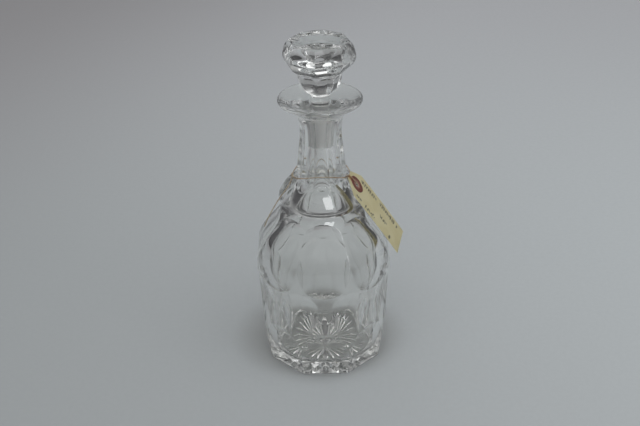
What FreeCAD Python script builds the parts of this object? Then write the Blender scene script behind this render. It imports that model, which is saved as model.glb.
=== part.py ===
import FreeCAD, Part
import math
import os
from FreeCAD import Vector

# Cut crystal decanter with its faceted stopper and a manila tag tied round the neck.
# Millimetres. +Z is up, the origin is the centre of the foot, and -Y is the front.

# Cutting pattern
FACES = 8
NECK_FACES = 10
STEP_ANGLE = 360.0 / FACES

# Body blank, before cutting: (radius, height) up the outside, from the foot to the crease under the ring
FOOT_RADIUS = 50.8
FOOT_BEVEL = 0.5
BODY_BLANK = [(FOOT_RADIUS, FOOT_BEVEL), (51.3, 20.0), (51.5, 44.0), (52.1, 62.0), (53.9, 78.0),
              (55.9, 90.0), (56.0, 98.0), (53.7, 105.0), (49.2, 112.0), (44.0, 118.5),
              (38.8, 125.0), (34.4, 131.5), (31.3, 138.0)]

# Bead-like neck ring, its flare and the neck, up to the underside of the lip
NECK_BLANK = [(31.3, 138.0), (33.6, 140.0), (34.4, 142.9), (33.3, 147.0), (30.2, 152.0),
              (25.2, 157.0), (21.2, 161.8), (19.9, 167.0), (18.8, 176.5), (17.75, 187.0),
              (16.8, 197.0), (16.85, 202.0), (17.4, 207.0), (18.5, 211.5), (21.0, 215.4),
              (25.8, 219.4), (31.2, 223.2)]

# Lip: a rounded rim and a shallow dish that falls to the mouth
RIM_RADIUS = 32.8
RIM_MIDDLE = 225.1
RIM_TOP = (31.2, 226.9)
DISH = [RIM_TOP, (27.0, 225.5), (20.0, 223.8), (13.0, 222.7), (9.6, 222.3)]
MOUTH_EDGE = (8.1, 221.7)

# Ground seat of the stopper: a slow taper that the plug fills, with a little room all round
SEAT_TOP = 220.0
SEAT_BOTTOM = 187.0
PLUG_TOP_RADIUS = 7.2
PLUG_TAPER = 0.034
SEAT_CLEARANCE = 0.05

# Hollow inside: flat floor, then (radius, height) up to the foot of the seat
FLOOR = 9.5
FLOOR_RADIUS = 33.0
HOLLOW = [(FLOOR_RADIUS, FLOOR), (38.6, 11.6), (41.6, 20.0), (42.6, 36.0), (43.4, 52.0),
          (45.0, 70.0), (47.0, 86.0), (46.8, 97.0), (44.0, 105.0), (38.2, 112.5), (31.5, 120.5),
          (25.8, 127.5), (20.6, 134.5), (15.4, 142.0), (11.4, 149.5), (9.3, 157.5), (8.5, 166.0),
          (7.6, 178.0)]

# Flat panels, as (distance from the axis, height) along the middle of each panel.
# Each row leaves the blank at both ends, which rounds its ends.
LONG_PANELS = [(56.4, 75.5), (53.4, 80.0), (52.9, 85.0), (52.9, 91.0), (52.2, 98.0),
               (49.5, 105.0), (45.4, 112.0), (40.6, 118.5), (35.9, 125.0), (33.6, 130.0),
               (33.4, 133.5), (34.2, 137.0)]
LENS_PANELS = [(53.0, 20.0), (51.5, 28.0), (50.9, 36.0), (50.5, 44.0), (50.1, 52.0), (49.8, 59.0),
               (49.9, 65.0), (50.9, 71.0), (52.3, 76.0), (54.4, 81.0), (57.0, 86.0)]
FOOT_PANELS = [(43.3, -2.0), (45.0, 9.0), (46.6, 19.0), (48.0, 28.0), (49.0, 34.0), (50.0, 38.5),
               (51.4, 42.5), (53.6, 46.5)]
NECK_FLUTES = [(30.4, 153.4), (27.4, 155.3), (23.8, 157.3), (20.4, 160.0), (18.9, 163.0),
               (18.3, 167.0), (17.3, 176.5), (16.3, 187.0), (15.45, 197.0), (15.5, 202.0),
               (16.1, 207.0), (17.0, 210.5), (19.2, 213.8), (25.0, 217.0)]

# Star cut under the foot: long V grooves, widest and deepest at one radius
STAR_RAYS = 24
STAR_RADIUS = 37.0
STAR_WIDEST = 24.0
STAR_CENTRE_GAP = 1.0
STAR_DEPTH = 2.6
STAR_FULLNESS = 0.97

# Stopper outside, from the shank up to the rim of its polished top
STOPPER_TWIST = 15.5
PLUG_BOTTOM = 188.8
PLUG_CHAMFER = 0.8
PLUG_TOP = 219.0
SHANK_TOP = 227.0
BOWL = [(PLUG_TOP_RADIUS, SHANK_TOP), (7.8, 229.4), (10.6, 232.0), (13.9, 235.0), (16.2, 239.5),
        (16.9, 244.0), (17.2, 248.3)]
HEAD = [(17.2, 248.3), (20.0, 250.0), (24.3, 253.2), (27.0, 256.8), (27.9, 260.4),
        (27.3, 264.6), (26.3, 268.4), (24.4, 271.3), (21.0, 272.5), (17.6, 272.2)]
TABLE_EDGE = (16.4, 271.6)
TABLE_DEPTH = 1.6
HEAD_FACETS = [(22.0, 248.8), (20.6, 250.4), (22.8, 253.2), (25.0, 256.8), (25.8, 260.4),
               (25.2, 264.6), (24.2, 268.4), (22.4, 271.3), (19.6, 274.0)]
BOWL_FACETS = [(8.6, 228.8), (9.2, 231.0), (12.0, 233.8), (14.2, 237.0), (15.2, 240.5),
               (15.7, 244.0), (16.9, 247.6), (18.6, 249.6)]

# Twine loop round the neck: lower at the two sides, where the flare and the tag hold it
TWINE_RADIUS = 0.42
LOOP_SIDE_RADIUS = 22.4
LOOP_SIDE_HEIGHT = 161.2
LOOP_FRONT_RADIUS = 20.8
LOOP_FRONT_HEIGHT = 168.4
LOOP_POINTS = 16
KNOT = Vector(-23.0, -0.6, 161.4)
KNOT_RADIUS = 1.25
TAIL = [KNOT, Vector(-26.0, -10.4, 156.6), Vector(-33.0, -13.2, 147.6), Vector(-39.6, -12.6, 136.0),
        Vector(-44.4, -11.2, 125.6), Vector(-45.6, -10.4, 122.0)]

# Tag: a standard shipping tag that hangs over the ring on the +X side.
# It swings about a point of the twine loop; its heading turns it a little towards the front.
TAG_PIVOT_ANGLE = 60.0
TAG_HEADING = -11.0
TAG_SLOPE = 54.6
TAG_LIFT = 2.2
TAG_START = 0.3
TAG_ASIDE = 3.0
TAG_LENGTH = 70.0
TAG_WIDTH = 35.0
TAG_CLIP = 11.5
TAG_THICKNESS = 0.36
HOLE_FROM_EDGE = 10.0
HOLE_RADIUS = 2.4
PATCH_RADIUS = 7.4
PATCH_THICKNESS = 0.25
HITCH_RADIUS = 0.36
HITCH_GAP = 0.06


def upright(points):
    """Turn (radius, height) pairs into points in the XZ plane."""
    return [Vector(radius, 0.0, height) for radius, height in points]


def smooth_edge(points, start_direction=None, end_direction=None):
    """One smooth curve through the points."""
    curve = Part.BSplineCurve()
    if start_direction is None:
        curve.interpolate(Points=points)
    else:
        curve.interpolate(Points=points, InitialTangent=start_direction, FinalTangent=end_direction)
    return curve.toShape()


def line(start, end):
    return Part.makeLine(start, end)


def turned(edges):
    """Revolve a closed outline in the XZ plane about the Z axis."""
    face = Part.Face(Part.Wire(edges))
    solid = face.revolve(Vector(0, 0, 0), Vector(0, 0, 1), 360.0)
    return Part.Solid(solid.Shells[0])


def copies_around(shape, count, first_angle):
    """The shape and its copies, spaced evenly round the Z axis."""
    copies = []
    for index in range(count):
        copy = shape.copy()
        copy.rotate(Vector(0, 0, 0), Vector(0, 0, 1), first_angle + index * 360.0 / count)
        copies.append(copy)
    return copies


def panel_cutters(points, first_angle, width, count=FACES):
    """Blocks that take away all the glass outside a row of panels.

    A panel is straight across and follows the points up its middle. Angle 0 faces the front.
    """
    outside = max(radius for radius, height in points) + 8.0
    path = upright(points)
    bottom_corner = Vector(outside, 0.0, path[0].z)
    top_corner = Vector(outside, 0.0, path[-1].z)
    edges = [smooth_edge(path), line(path[-1], top_corner), line(top_corner, bottom_corner),
             line(bottom_corner, path[0])]
    block = Part.Face(Part.Wire(edges)).extrude(Vector(0, width, 0))
    block.translate(Vector(0, -width / 2.0, 0))
    block.rotate(Vector(0, 0, 0), Vector(0, 0, 1), -90.0)
    return copies_around(block, count, first_angle)


def star_cutters():
    """Long V grooves, pointed at both ends, that spread from the middle of the underside."""
    half_width = STAR_WIDEST * math.tan(math.radians(180.0 / STAR_RAYS)) * STAR_FULLNESS
    inner = Vector(STAR_CENTRE_GAP, 0, 0)
    outer = Vector(STAR_RADIUS, 0, 0)
    left = Vector(STAR_WIDEST, half_width, 0)
    right = Vector(STAR_WIDEST, -half_width, 0)
    deepest = Vector(STAR_WIDEST, 0, STAR_DEPTH)
    triangles = [(inner, left, deepest), (left, outer, deepest), (outer, right, deepest),
                 (right, inner, deepest), (inner, right, left), (right, outer, left)]
    faces = [Part.Face(Part.makePolygon(corners + corners[:1])) for corners in triangles]
    groove = Part.Solid(Part.Shell(faces))
    return copies_around(groove, STAR_RAYS, 0.0)


def plug_radius(height):
    """Radius of the tapered plug at a height."""
    return PLUG_TOP_RADIUS - PLUG_TAPER * (PLUG_TOP - height)


def decanter_blank():
    """The blown body, neck and lip, solid and still round."""
    foot_centre = Vector(0, 0, 0)
    foot_edge = Vector(FOOT_RADIUS - FOOT_BEVEL, 0, 0)
    body = upright(BODY_BLANK)
    neck = upright(NECK_BLANK)
    dish = upright(DISH)
    top_centre = Vector(0, 0, DISH[-1][1])
    edges = [line(foot_centre, foot_edge), line(foot_edge, body[0]),
             smooth_edge(body), smooth_edge(neck),
             Part.Arc(neck[-1], Vector(RIM_RADIUS, 0, RIM_MIDDLE), dish[0]).toShape(),
             smooth_edge(dish), line(dish[-1], top_centre), line(top_centre, foot_centre)]
    return turned(edges)


def decanter_hollow():
    """The space for the drink, the neck's bore and the ground seat, up through the mouth."""
    seat_bottom = Vector(plug_radius(SEAT_BOTTOM) + SEAT_CLEARANCE, 0, SEAT_BOTTOM)
    seat_top = Vector(plug_radius(SEAT_TOP) + SEAT_CLEARANCE, 0, SEAT_TOP)
    wall = upright(HOLLOW) + [seat_bottom]
    floor_centre = Vector(0, 0, FLOOR)
    mouth_top = Vector(DISH[-1][0], 0, DISH[-1][1])
    above = Vector(mouth_top.x, 0, mouth_top.z + 3.0)
    above_centre = Vector(0, 0, above.z)
    edges = [line(floor_centre, wall[0]), smooth_edge(wall, Vector(1, 0, 0), Vector(-0.1, 0, 1)),
             line(seat_bottom, seat_top),
             Part.Arc(seat_top, Vector(MOUTH_EDGE[0], 0, MOUTH_EDGE[1]), mouth_top).toShape(),
             line(mouth_top, above), line(above, above_centre), line(above_centre, floor_centre)]
    return turned(edges)


def decanter_body():
    """Hollow the blank, then cut the panels, the flutes and the star."""
    glass = decanter_blank().cut(decanter_hollow())
    glass = glass.cut(panel_cutters(FOOT_PANELS, 0.0, 60.0))
    glass = glass.cut(panel_cutters(LENS_PANELS, STEP_ANGLE / 2.0, 46.0))
    glass = glass.cut(panel_cutters(LONG_PANELS, 0.0, 60.0))
    glass = glass.cut(panel_cutters(NECK_FLUTES, 0.0, 40.0, NECK_FACES))
    return glass.cut(star_cutters())


def stopper():
    """One piece of glass: ground plug, shank, faceted bowl and eight-sided head."""
    plug_end = Vector(plug_radius(PLUG_BOTTOM) - PLUG_CHAMFER, 0, PLUG_BOTTOM)
    plug_corner = Vector(plug_radius(PLUG_BOTTOM + PLUG_CHAMFER), 0, PLUG_BOTTOM + PLUG_CHAMFER)
    plug_top = Vector(PLUG_TOP_RADIUS, 0, PLUG_TOP)
    bowl = upright(BOWL)
    head = upright(HEAD)
    table_edge = Vector(TABLE_EDGE[0], 0, TABLE_EDGE[1])
    table_centre = Vector(0, 0, TABLE_EDGE[1] - TABLE_DEPTH)
    ball_radius = (TABLE_EDGE[0] ** 2 + TABLE_DEPTH ** 2) / (2.0 * TABLE_DEPTH)
    half_edge = TABLE_EDGE[0] / 2.0
    half_rise = ball_radius - math.sqrt(ball_radius ** 2 - half_edge ** 2)
    table_middle = Vector(half_edge, 0, table_centre.z + half_rise)
    bottom_centre = Vector(0, 0, PLUG_BOTTOM)
    edges = [line(bottom_centre, plug_end), line(plug_end, plug_corner), line(plug_corner, plug_top),
             line(plug_top, bowl[0]), smooth_edge(bowl), smooth_edge(head),
             line(head[-1], table_edge), Part.Arc(table_edge, table_middle, table_centre).toShape(),
             line(table_centre, bottom_centre)]
    glass = turned(edges)
    glass = glass.cut(panel_cutters(HEAD_FACETS, 0.0, 40.0))
    glass = glass.cut(panel_cutters(BOWL_FACETS, 0.0, 24.0))
    glass.rotate(Vector(0, 0, 0), Vector(0, 0, 1), STOPPER_TWIST)
    return glass


def cord(path, start, direction, radius):
    """A round cord along a path."""
    section = Part.Wire(Part.makeCircle(radius, start, direction))
    return Part.Wire(path).makePipeShell([section], True, False)


def loop_point(angle):
    """Centre of the twine at an angle round the neck; 0 is the front."""
    sideways = 0.5 - 0.5 * math.cos(2.0 * math.radians(angle))
    radius = LOOP_FRONT_RADIUS + (LOOP_SIDE_RADIUS - LOOP_FRONT_RADIUS) * sideways
    height = LOOP_FRONT_HEIGHT + (LOOP_SIDE_HEIGHT - LOOP_FRONT_HEIGHT) * sideways
    across = radius * math.sin(math.radians(angle))
    forward = radius * math.cos(math.radians(angle))
    return Vector(across, -forward, height)


def open_cord(points, radius):
    """A round cord along a smooth open path through the points."""
    curve = Part.BSplineCurve()
    curve.interpolate(Points=points)
    direction = curve.tangent(curve.FirstParameter)[0]
    return cord(curve.toShape(), points[0], direction, radius)


def tag_string():
    """The loop round the neck, the knot on the -X side and the loose tail."""
    round_neck = [loop_point(-90.0 + 360.0 * index / LOOP_POINTS) for index in range(1, LOOP_POINTS)]
    loop = open_cord([KNOT] + round_neck + [KNOT], TWINE_RADIUS)
    tail = open_cord(TAIL, TWINE_RADIUS)
    knot = Part.makeSphere(KNOT_RADIUS, KNOT)
    return knot.fuse(tail).fuse(loop)


def tag_directions():
    """Unit vectors down the tag, across it and out of its front."""
    heading = math.radians(TAG_HEADING)
    slope = math.radians(TAG_SLOPE)
    outward = Vector(math.cos(heading), math.sin(heading), 0)
    down = outward * math.cos(slope) - Vector(0, 0, math.sin(slope))
    across = Vector(-math.sin(heading), math.cos(heading), 0)
    front = outward * math.sin(slope) + Vector(0, 0, math.cos(slope))
    return down, across, front


def on_tag(along, aside, lift):
    """A point by its distance down the tag, across it and above its middle plane."""
    down, across, front = tag_directions()
    pivot = loop_point(TAG_PIVOT_ANGLE)
    return (pivot + down * (along + TAG_START) + across * (aside + TAG_ASIDE)
            + front * (lift + TAG_LIFT))


def tag_hole(low, high):
    """A pin the size of the tag's hole, between two heights above its middle plane."""
    front = tag_directions()[2]
    return Part.makeCylinder(HOLE_RADIUS, high - low, on_tag(HOLE_FROM_EDGE, 0, low), front)


def tag_card():
    """The manila card with its two corners clipped and its hole punched."""
    half = TAG_WIDTH / 2.0
    bottom = -TAG_THICKNESS / 2.0
    outline = [(0, half - TAG_CLIP), (TAG_CLIP, half), (TAG_LENGTH, half), (TAG_LENGTH, -half),
               (TAG_CLIP, -half), (0, -half + TAG_CLIP)]
    points = [on_tag(along, aside, bottom) for along, aside in outline]
    face = Part.Face(Part.makePolygon(points + points[:1]))
    card = face.extrude(tag_directions()[2] * TAG_THICKNESS)
    return card.cut(tag_hole(bottom - 1.0, -bottom + 1.0))


def tag_patch(low):
    """A round reinforcement patch glued over the hole."""
    front = tag_directions()[2]
    disc = Part.makeCylinder(PATCH_RADIUS, PATCH_THICKNESS, on_tag(HOLE_FROM_EDGE, 0, low), front)
    return disc.cut(tag_hole(low - 1.0, low + PATCH_THICKNESS + 1.0))


def tag_hitch():
    """The doubled twine: over the tag's top edge, down through its hole and back up behind it."""
    beside_loop = TWINE_RADIUS + HITCH_RADIUS + HITCH_GAP
    surface = TAG_THICKNESS / 2.0 + PATCH_THICKNESS + HITCH_RADIUS + HITCH_GAP
    path = [on_tag(-TAG_START, -TAG_ASIDE, beside_loop - TAG_LIFT),
            on_tag(-1.1, -TAG_ASIDE + 0.1, -1.0),
            on_tag(-0.9, -TAG_ASIDE + 0.2, 0.2),
            on_tag(0.1, -TAG_ASIDE + 0.4, surface),
            on_tag(2.0, -TAG_ASIDE + 0.9, surface + 0.1),
            on_tag(HOLE_FROM_EDGE - 3.0, -0.8, surface),
            on_tag(HOLE_FROM_EDGE - 0.6, 0, 0),
            on_tag(HOLE_FROM_EDGE - 3.0, -0.8, -surface),
            on_tag(3.0, -TAG_ASIDE + 1.0, -surface - 0.1),
            on_tag(beside_loop, -TAG_ASIDE, 0.3 - TAG_LIFT)]
    return open_cord(path, HITCH_RADIUS)


PARTS = {
    "decanter_body": decanter_body,
    "stopper": stopper,
    "tag_string": tag_string,
    "tag_card": tag_card,
    "tag_patch_front": lambda: tag_patch(TAG_THICKNESS / 2.0),
    "tag_patch_back": lambda: tag_patch(-TAG_THICKNESS / 2.0 - PATCH_THICKNESS),
    "tag_hitch": tag_hitch,
}

os.makedirs("parts", exist_ok=True)
for name, make in PARTS.items():
    solid = make().Solids[0]
    print(name, solid.isValid(), round(solid.Volume))
    solid.exportStep(f"parts/{name}.step")
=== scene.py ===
"""Looks of a cut crystal decanter with its stopper and a manila tag on twine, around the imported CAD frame."""
import math
import random

import bmesh
import bpy
import numpy as np
from mathutils import Matrix, Vector
from mathutils.geometry import delaunay_2d_cdt


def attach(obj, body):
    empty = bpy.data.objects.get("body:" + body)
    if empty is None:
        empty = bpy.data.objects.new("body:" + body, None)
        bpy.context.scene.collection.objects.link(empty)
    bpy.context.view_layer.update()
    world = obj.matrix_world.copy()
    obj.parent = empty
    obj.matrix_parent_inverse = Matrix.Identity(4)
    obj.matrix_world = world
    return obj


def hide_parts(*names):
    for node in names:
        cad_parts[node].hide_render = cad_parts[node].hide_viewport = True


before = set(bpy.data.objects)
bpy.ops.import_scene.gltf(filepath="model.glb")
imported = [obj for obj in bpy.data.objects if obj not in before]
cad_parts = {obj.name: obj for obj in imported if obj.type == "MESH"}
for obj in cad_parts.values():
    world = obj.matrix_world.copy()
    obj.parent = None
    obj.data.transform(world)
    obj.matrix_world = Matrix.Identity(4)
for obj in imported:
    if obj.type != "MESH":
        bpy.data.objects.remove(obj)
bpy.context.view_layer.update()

MM = 0.001
FACES, NECK_FACES = 8, 10

# ---------------------------------------------------------------- sizes, in mm and degrees
# glass outlines are (radius, height), and rows of panels are (distance of the flat from the axis, height)
FOOT_EDGE = [(50.3, 0.0), (50.8, 0.5)]
BODY_BLANK = [(50.8, 0.5), (51.3, 20.0), (51.5, 44.0), (52.1, 62.0), (53.9, 78.0), (55.9, 90.0),
              (56.0, 98.0), (53.7, 105.0), (49.2, 112.0), (44.0, 118.5), (38.8, 125.0),
              (34.4, 131.5), (31.3, 138.0)]
NECK_BLANK = [(31.3, 138.0), (33.6, 140.0), (34.4, 142.9), (33.3, 147.0), (30.2, 152.0),
              (25.2, 157.0), (21.2, 161.8), (19.9, 167.0), (18.8, 176.5), (17.75, 187.0),
              (16.8, 197.0), (16.85, 202.0), (17.4, 207.0), (18.5, 211.5), (21.0, 215.4),
              (25.8, 219.4), (31.2, 223.2)]
RIM = [(31.2, 223.2), (32.8, 225.1), (31.2, 226.9)]
DISH = [(31.2, 226.9), (27.0, 225.5), (20.0, 223.8), (13.0, 222.7), (9.6, 222.3)]
MOUTH_EDGE = (8.1, 221.7)
PLUG_TOP, PLUG_TOP_RADIUS, PLUG_TAPER, SEAT_CLEARANCE = 219.0, 7.2, 0.034, 0.05
GROUND_TOP = 216.5
SEAT_TOP, SEAT_BOTTOM = 220.0, 187.0
FLOOR, FLOOR_RADIUS = 9.5, 33.0
HOLLOW = [(FLOOR_RADIUS, FLOOR), (38.6, 11.6), (41.6, 20.0), (42.6, 36.0), (43.4, 52.0),
          (45.0, 70.0), (47.0, 86.0), (46.8, 97.0), (44.0, 105.0), (38.2, 112.5), (31.5, 120.5),
          (25.8, 127.5), (20.6, 134.5), (15.4, 142.0), (11.4, 149.5), (9.3, 157.5), (8.5, 166.0),
          (7.6, 178.0)]
HOLLOW_START, HOLLOW_END = (1.0, 0.0), (-0.0995, 0.995)
HOLLOW_WAVER = 0.006
LONG_PANELS = [(56.4, 75.5), (53.4, 80.0), (52.9, 85.0), (52.9, 91.0), (52.2, 98.0), (49.5, 105.0),
               (45.4, 112.0), (40.6, 118.5), (35.9, 125.0), (33.6, 130.0), (33.4, 133.5),
               (34.2, 137.0)]
LENS_PANELS = [(53.0, 20.0), (51.5, 28.0), (50.9, 36.0), (50.5, 44.0), (50.1, 52.0), (49.8, 59.0),
               (49.9, 65.0), (50.9, 71.0), (52.3, 76.0), (54.4, 81.0), (57.0, 86.0)]
FOOT_PANELS = [(43.3, -2.0), (45.0, 9.0), (46.6, 19.0), (48.0, 28.0), (49.0, 34.0), (50.0, 38.5),
               (51.4, 42.5), (53.6, 46.5)]
FOOT_ARRIS, FOOT_ARRIS_SLOPE = 0.45, 1.1
NECK_FLUTES = [(30.4, 153.4), (27.4, 155.3), (23.8, 157.3), (20.4, 160.0), (18.9, 163.0),
               (18.3, 167.0), (17.3, 176.5), (16.3, 187.0), (15.45, 197.0), (15.5, 202.0),
               (16.1, 207.0), (17.0, 210.5), (19.2, 213.8), (25.0, 217.0)]
STAR_RAYS, STAR_RADIUS, STAR_WIDEST, STAR_CENTRE_GAP, STAR_DEPTH = 24, 37.0, 24.0, 1.0, 2.6
STAR_FULLNESS = 0.97

STOPPER_TWIST = 15.5
PLUG_BOTTOM, PLUG_CHAMFER, SHANK_TOP = 188.8, 0.8, 227.0
BOWL = [(PLUG_TOP_RADIUS, SHANK_TOP), (7.8, 229.4), (10.6, 232.0), (13.9, 235.0), (16.2, 239.5),
        (16.9, 244.0), (17.2, 248.3)]
HEAD = [(17.2, 248.3), (20.0, 250.0), (24.3, 253.2), (27.0, 256.8), (27.9, 260.4), (27.3, 264.6),
        (26.3, 268.4), (24.4, 271.3), (21.0, 272.5), (17.6, 272.2)]
TABLE_EDGE, TABLE_DEPTH = (16.4, 271.6), 1.6
HEAD_FACETS = [(22.0, 248.8), (20.6, 250.4), (22.8, 253.2), (25.0, 256.8), (25.8, 260.4),
               (25.2, 264.6), (24.2, 268.4), (22.4, 271.3), (19.6, 274.0)]
BOWL_FACETS = [(8.6, 228.8), (9.2, 231.0), (12.0, 233.8), (14.2, 237.0), (15.2, 240.5),
               (15.7, 244.0), (16.9, 247.6), (18.6, 249.6)]

# the twine's loop is (radius, height), wider and lower at the sides than in front and behind
TWINE_RADIUS, HITCH_RADIUS, HITCH_GAP = 0.42, 0.36, 0.06
TWINE_LAY, PLY_OFFSET, PLY_RADIUS = 2.6, 0.52, 0.62
TWINE_STEP, HAIR_RADIUS = 0.3, 0.035
LOOP_FRONT, LOOP_SIDE = (20.8, 168.4), (22.4, 161.2)
KNOT = (-23.0, -0.6, 161.4)
TAIL = [KNOT, (-26.0, -10.4, 156.6), (-33.0, -13.2, 147.6), (-39.6, -12.6, 136.0),
        (-44.4, -11.2, 125.6), (-45.6, -10.4, 122.0)]
# the tag hangs from a place on the loop, heading outward and sloping down
TAG_PIVOT_ANGLE, TAG_HEADING, TAG_SLOPE = 60.0, -11.0, 54.6
TAG_LIFT, TAG_START, TAG_ASIDE = 2.2, 0.3, 3.0
TAG_LENGTH, TAG_WIDTH, TAG_CLIP, TAG_THICKNESS = 70.0, 35.0, 11.5, 0.36
BOW_START, BOW_HEIGHT, BOW_RIPPLE = 14.0, 0.6, 0.15
HOLE_FROM_EDGE, HOLE_RADIUS, PATCH_RADIUS, PATCH_THICKNESS = 10.0, 2.4, 7.4, 0.25


# ---------------------------------------------------------------- curves
PANEL_END_PLACES = (0.0, 0.02, 0.06, 0.14, 0.26, 0.42)
CLOSEST_LEVELS = 0.012


def end_slope(t, values):
    """Slope at t[0] of the polynomial through the first four points."""
    slope = np.zeros(values.shape[1])
    count = min(4, len(t))
    for i in range(count):
        weight = 0.0
        for j in range(count):
            if j == i:
                continue
            term = 1.0 / (t[i] - t[j])
            for k in range(count):
                if k not in (i, j):
                    term *= (t[0] - t[k]) / (t[i] - t[k])
            weight += term
        slope += weight * values[i]
    return slope


class Smooth:
    """Cubic spline through points, by chord length, with end slopes given or read off the first points."""

    def __init__(self, points, start=None, end=None):
        self.p = np.array(points, float)
        steps = np.linalg.norm(np.diff(self.p, axis=0), axis=1)
        self.t = np.r_[0.0, np.cumsum(steps)]
        first = end_slope(self.t, self.p) if start is None else np.array(start, float)
        last = -end_slope(-self.t[::-1], self.p[::-1]) if end is None else np.array(end, float)
        count = len(self.t)
        a = np.zeros((count, count))
        b = np.zeros((count, self.p.shape[1]))
        a[0, 0] = a[-1, -1] = 1.0
        b[0], b[-1] = first, last
        for i in range(1, count - 1):
            before, after = steps[i - 1], steps[i]
            a[i, i - 1], a[i, i], a[i, i + 1] = after, 2.0 * (before + after), before
            rise0 = (self.p[i] - self.p[i - 1]) / before
            rise1 = (self.p[i + 1] - self.p[i]) / after
            b[i] = 3.0 * (after * rise0 + before * rise1)
        self.m = np.linalg.solve(a, b)

    def at(self, t):
        """Points at distances t along the chords."""
        t = np.atleast_1d(t)
        i = np.clip(np.searchsorted(self.t, t, side="right") - 1, 0, len(self.t) - 2)
        h = (self.t[i + 1] - self.t[i])[:, None]
        s = (t - self.t[i])[:, None] / h
        return ((2 * s**3 - 3 * s**2 + 1) * self.p[i] + (s**3 - 2 * s**2 + s) * h * self.m[i]
                + (3 * s**2 - 2 * s**3) * self.p[i + 1] + (s**3 - s**2) * h * self.m[i + 1])

    def places(self, step):
        """Distances about step apart, from one end to the other."""
        return np.linspace(0.0, self.t[-1], max(2, int(round(self.t[-1] / step)) + 1))

    def even(self, step):
        """Points about step apart."""
        return self.at(self.places(step))

    def by_height(self):
        """The radius as a function of height, infinite past both ends."""
        dense = self.at(np.linspace(0.0, self.t[-1], 20001))
        return lambda z: np.interp(z, dense[:, 1], dense[:, 0], left=np.inf, right=np.inf)

    def with_panel_ends(self, step, rows):
        """Points about step apart, and closer where a row of panels starts or ends, to keep its end round."""
        places = list(self.places(step))
        dense = np.linspace(0.0, self.t[-1], 40001)
        curve = self.at(dense)
        for row in rows:
            cut = row(curve[:, 1]) < curve[:, 0]
            for index in np.flatnonzero(cut[1:] != cut[:-1]):
                side = 1.0 if cut[index + 1] else -1.0
                places += [dense[index] + side * away for away in PANEL_END_PLACES]
        places = np.unique(np.clip(places, 0.0, self.t[-1]))
        keep = np.r_[True, np.diff(places) > CLOSEST_LEVELS]
        keep[-1] = True
        return self.at(places[keep])


def arc(first, middle, last, count):
    """Points on the circle through three points."""
    (ax, ay), (bx, by), (cx, cy) = first, middle, last
    d = 2.0 * (ax * (by - cy) + bx * (cy - ay) + cx * (ay - by))
    ux = ((ax**2 + ay**2) * (by - cy) + (bx**2 + by**2) * (cy - ay) + (cx**2 + cy**2) * (ay - by)) / d
    uy = ((ax**2 + ay**2) * (cx - bx) + (bx**2 + by**2) * (ax - cx) + (cx**2 + cy**2) * (bx - ax)) / d
    angles = np.unwrap([math.atan2(ay - uy, ax - ux), math.atan2(by - uy, bx - ux),
                        math.atan2(cy - uy, cx - ux)])
    radius = math.hypot(ax - ux, ay - uy)
    turn = np.linspace(angles[0], angles[2], count)
    return np.stack([ux + radius * np.cos(turn), uy + radius * np.sin(turn)], 1)


def straight(first, last, step):
    """Points about step apart on a straight line, with both ends."""
    count = max(2, int(math.hypot(last[0] - first[0], last[1] - first[1]) / step) + 1)
    return np.linspace(first, last, count)


def plug_radius(z):
    """Radius of the stopper's ground plug, which tapers downwards."""
    return PLUG_TOP_RADIUS - PLUG_TAPER * (PLUG_TOP - z)


# ---------------------------------------------------------------- cut glass
COLUMNS = 160
PANEL_COLUMNS = 3
BODY_COLUMNS = COLUMNS // (2 * FACES)
ROUNDING = 0.4
SETTLE = 8
MERGE_DISTANCE, SLIVER = 2e-7, 1e-7
ON_CREASE, LEAST_REACH = 1e-3, 1e-6
POLISHED, GROUND, INSIDE = 0, 1, 2


def spread(start, end, near_start, near_end, count):
    """Angles from start to end, with one close to each end that is a crease, so that it shades round."""
    gap = end - start
    angles = [start]
    if near_start:
        angles.append(start + min(near_start, 0.3 * gap))
    last = [end]
    if near_end:
        last.insert(0, end - min(near_end, 0.3 * gap))
    inner = count + 1 - len(angles) - len(last)
    between = np.linspace(angles[-1], last[0], inner + 2)[1:-1]
    return angles[1:] + list(between) + last


def half_sector(radius, flat, lens, half):
    """(distance, angle) of the columns from the middle of a flat to half a sector."""
    flat_reach = math.acos(flat / radius) if flat < radius else 0.0
    lens_reach = math.acos(lens / radius) if lens < radius else 0.0
    first, second = flat_reach, half - lens_reach
    if first > second:
        # neighbouring panels meet, with no blank left between them; a missing lens row counts as far off
        beyond = min(lens, 10.0 * radius) - flat * math.cos(half)
        first = second = min(max(math.atan2(beyond, flat * math.sin(half)), 0.0), half)
    near = ROUNDING / radius
    columns = round(COLUMNS * half / (2.0 * math.pi))
    angles = [0.0] + spread(0.0, first, 0.0, near, PANEL_COLUMNS)
    if columns == BODY_COLUMNS:
        angles += spread(first, second, near, near, columns - 2 * PANEL_COLUMNS)
        angles += spread(second, half, near, 0.0, PANEL_COLUMNS)
    else:
        angles += spread(first, half, near, 0.0, columns - PANEL_COLUMNS)
    return [(min(radius, flat / math.cos(angle), lens / math.cos(half - angle)), angle) for angle in angles]


def level_ring(radius, flat, lens, faces):
    """(distance, angle) all round one level that has panels."""
    half = half_sector(radius, flat, lens, math.pi / faces)
    sector = 2.0 * math.pi / faces
    ring = []
    for index in range(faces):
        base = index * sector
        ring += [(reach, base + angle) for reach, angle in half[:-1]]
        ring += [(reach, base + sector - angle) for reach, angle in half[:0:-1]]
    return np.array(ring)


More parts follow.
